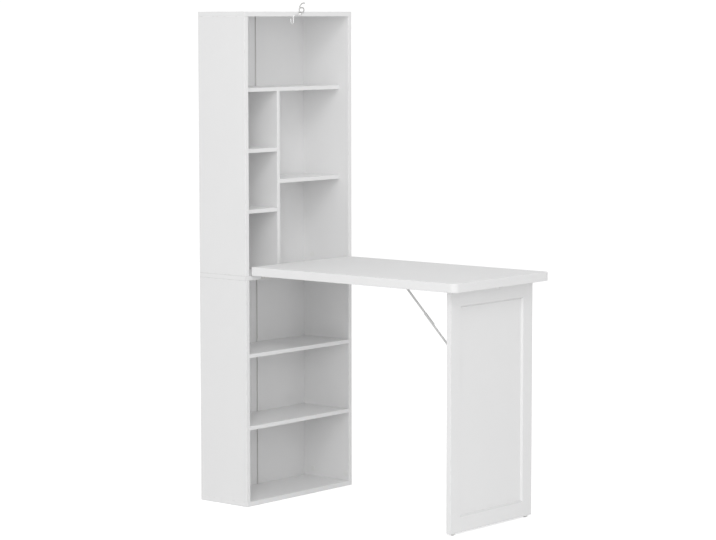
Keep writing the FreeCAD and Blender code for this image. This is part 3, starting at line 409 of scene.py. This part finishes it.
# nylon: the glides under the leg and the caps over the cams
nylonPieces = {
    "leg_glides": {
        "tint": (0.82, 0.82, 0.81, 1.0), "scuff": (0.68, 0.68, 0.67, 1.0), "scuffScale": 220.0,
        "wearScale": 60.0, "smooth": 0.4, "rough": 0.62,
        "peel": 1500.0, "bump": 0.15, "bumpDistance": 0.0001},
    "cam_caps": {
        "tint": (0.84, 0.84, 0.83, 1.0), "scuff": (0.78, 0.78, 0.77, 1.0), "scuffScale": 220.0,
        "wearScale": 60.0, "smooth": 0.3, "rough": 0.45,
        "peel": 1500.0, "bump": 0.15, "bumpDistance": 0.0001},
}


def finishNylon(nodeName, look):
    material, tree, shader, place = newMaterial("nylon_" + nodeName)
    grain = placeGroup(tree, pearlGrain, {"Vector": place, "Scale": look["scuffScale"],
                                          "Fineness": look["peel"]})
    tree.links.new(mixColours(tree, grain["Mottle"], look["tint"], look["scuff"]),
                   shader.inputs["Base Color"])
    tree.links.new(placeHandling(tree, place, look), shader.inputs["Roughness"])
    addBump(tree, shader, grain["Height"], look["bump"], look["bumpDistance"])
    dress(nodeName, material)


for nodeName, look in nylonPieces.items():
    finishNylon(nodeName, look)
print("nylon finishes:", ", ".join(nylonPieces))

# nails that hold the back sheets in their rebates
backNails = {"headRadius": 0.0024, "headRise": 0.0007, "spacing": 0.095, "edge": 0.0031,
             "segments": 14, "rings": 8}


def makeNailTree():
    tree, given, result = newTree(
        "nailsAlongLines", "GeometryNodeTree",
        [("Lines", "NodeSocketGeometry", None), ("Spacing", floatSocket, 0.1),
         ("Head Radius", floatSocket, 0.002), ("Head Rise", floatSocket, 0.0007),
         ("Finish", "NodeSocketMaterial", None)],
        [("Nails", "NodeSocketGeometry")])
    path = addNode(tree, "GeometryNodeMeshToCurve", {"Mesh": given["Lines"]}).outputs[0]
    steps = addNode(tree, "GeometryNodeResampleCurve",
                    {"Curve": path, "Length": given["Spacing"]}, mode="LENGTH").outputs[0]
    dome = addNode(tree, "GeometryNodeMeshUVSphere",
                   {"Segments": backNails["segments"], "Rings": backNails["rings"],
                    "Radius": 1.0}).outputs[0]
    size = addNode(tree, "ShaderNodeCombineXYZ",
                   {0: given["Head Radius"], 1: given["Head Rise"],
                    2: given["Head Radius"]}).outputs[0]
    head = addNode(tree, "GeometryNodeTransform", {"Geometry": dome, "Scale": size}).outputs[0]
    placed = addNode(tree, "GeometryNodeInstanceOnPoints",
                     {"Points": steps, "Instance": head}).outputs[0]
    solid = addNode(tree, "GeometryNodeRealizeInstances", {"Geometry": placed}).outputs[0]
    painted = addNode(tree, "GeometryNodeSetMaterial",
                      {"Geometry": solid, "Material": given["Finish"]}).outputs[0]
    tree.links.new(painted, result["Nails"])
    return tree


def setInput(modifier, name, value):
    for item in modifier.node_group.interface.items_tree:
        if item.name == name and item.in_out == "INPUT":
            modifier[item.identifier] = value


def drawNailLines():
    # one closed line for each unit, a nail's breadth inside the sheets' outer edge
    points, edges = [], []
    for unit in ("lower", "upper"):
        low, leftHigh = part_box(unit + "_back_left")
        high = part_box(unit + "_back_right")[1]
        left, right = low.x + backNails["edge"], high.x - backNails["edge"]
        foot, head = low.z + backNails["edge"], high.z - backNails["edge"]
        rear = leftHigh.y
        first = len(points)
        points += [(left, rear, foot), (right, rear, foot), (right, rear, head),
                   (left, rear, head)]
        edges += [(first + step, first + (step + 1) % 4) for step in range(4)]
    mesh = bpy.data.meshes.new("nailLines")
    mesh.from_pydata(points, edges, [])
    return mesh


def makeNails():
    lines = bpy.data.objects.new("nailLines", drawNailLines())
    bpy.context.scene.collection.objects.link(lines)
    modifier = lines.modifiers.new("nails", "NODES")
    modifier.node_group = makeNailTree()
    setInput(modifier, "Spacing", backNails["spacing"])
    setInput(modifier, "Head Radius", backNails["headRadius"])
    setInput(modifier, "Head Rise", backNails["headRise"])
    setInput(modifier, "Finish", metals["brightZinc"])
    ready = lines.evaluated_get(bpy.context.evaluated_depsgraph_get())
    mesh = bpy.data.meshes.new_from_object(ready)
    bpy.data.objects.remove(lines)
    nails = bpy.data.objects.new("back_nails", mesh)
    bpy.context.scene.collection.objects.link(nails)
    mesh.polygons.foreach_set("use_smooth", [True] * len(mesh.polygons))
    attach(nails, "bookcase")
    print("back nails:", len(mesh.polygons), "faces")


makeNails()

# floor, light and camera
studio = {
    "floorSize": 600.0, "floorTint": (0.90, 0.90, 0.90, 1.0),
    "floorCloud": (0.88, 0.88, 0.88, 1.0), "floorMottle": 1.5, "floorPeel": 300.0,
    "floorRough": 0.9, "floorSpecular": 0.1, "floorGlow": 0.5,
    "skyTint": (1.0, 1.0, 1.0, 1.0), "skyStrength": 0.645, "backdropStrength": 1.05,
    "panelAim": (0.0, -0.3, 0.8), "panels": [
        {"name": "frontPanel", "place": (-4.4, -4.0, 2.2), "size": 3.0, "power": 64.0},
        {"name": "highPanel", "place": (-3.6, -3.4, 4.6), "size": 1.6, "power": 63.0},
        {"name": "overheadPanel", "place": (-1.5, -1.5, 6.0), "size": 3.0, "power": 36.0}],
}
photoCamera = {
    "place": (-5.9259, -5.31093, 1.50184), "heading": 49.97378, "tilt": -5.6883,
    "roll": -0.05331, "focalPixels": 2535.876, "frameWidth": 716, "film": 36.0,
}


def makeFloor():
    half = studio["floorSize"] / 2
    mesh = bpy.data.meshes.new("floor")
    mesh.from_pydata([(-half, -half, 0), (half, -half, 0), (half, half, 0), (-half, half, 0)],
                     [], [(0, 1, 2, 3)])
    floor = bpy.data.objects.new("floor", mesh)
    bpy.context.scene.collection.objects.link(floor)
    material, tree, shader, place = newMaterial("paleFloor")
    grain = placeGroup(tree, pearlGrain, {"Vector": place, "Scale": studio["floorMottle"],
                                          "Fineness": studio["floorPeel"]})
    tree.links.new(mixColours(tree, grain["Mottle"], studio["floorTint"], studio["floorCloud"]),
                   shader.inputs["Base Color"])
    shader.inputs["Roughness"].default_value = studio["floorRough"]
    shader.inputs["Specular IOR Level"].default_value = studio["floorSpecular"]
    shader.inputs["Emission Color"].default_value = studio["skyTint"]
    seen = addNode(tree, "ShaderNodeLightPath").outputs["Is Camera Ray"]
    tree.links.new(addMath(tree, "MULTIPLY", seen, studio["floorGlow"]),
                   shader.inputs["Emission Strength"])
    mesh.materials.append(material)


def makeLight():
    scene = bpy.context.scene
    world = bpy.data.worlds.new("paleStudio")
    world.use_nodes = True
    tree = world.node_tree
    sky = next(n for n in tree.nodes if n.type == "BACKGROUND")
    sky.inputs["Color"].default_value = studio["skyTint"]
    seen = addNode(tree, "ShaderNodeLightPath").outputs["Is Camera Ray"]
    strength = mapRange(tree, seen, 0.0, 1.0, studio["skyStrength"], studio["backdropStrength"])
    tree.links.new(strength, sky.inputs["Strength"])
    scene.world = world
    for look in studio["panels"]:
        panel = bpy.data.lights.new(look["name"], "AREA")
        panel.size = look["size"]
        panel.energy = look["power"]
        holder = bpy.data.objects.new(look["name"], panel)
        scene.collection.objects.link(holder)
        holder.location = look["place"]
        holder.visible_camera = False
        aim = Vector(studio["panelAim"]) - Vector(look["place"])
        holder.rotation_euler = aim.to_track_quat("-Z", "Y").to_euler()
    scene.view_settings.view_transform = "Standard"


def makeCamera():
    look = photoCamera
    camera = bpy.data.cameras.new("photoCamera")
    camera.sensor_width = look["film"]
    camera.lens = look["film"] * look["focalPixels"] / look["frameWidth"]
    holder = bpy.data.objects.new("photoCamera", camera)
    turn = (Matrix.Rotation(math.radians(-look["heading"]), 4, "Z")
            @ Matrix.Rotation(math.radians(90 + look["tilt"]), 4, "X")
            @ Matrix.Rotation(math.radians(look["roll"]), 4, "Z"))
    holder.matrix_world = Matrix.Translation(look["place"]) @ turn
    bpy.context.scene.collection.objects.link(holder)
    bpy.context.scene.camera = holder


makeFloor()
makeLight()
makeCamera()
print("studio ready")
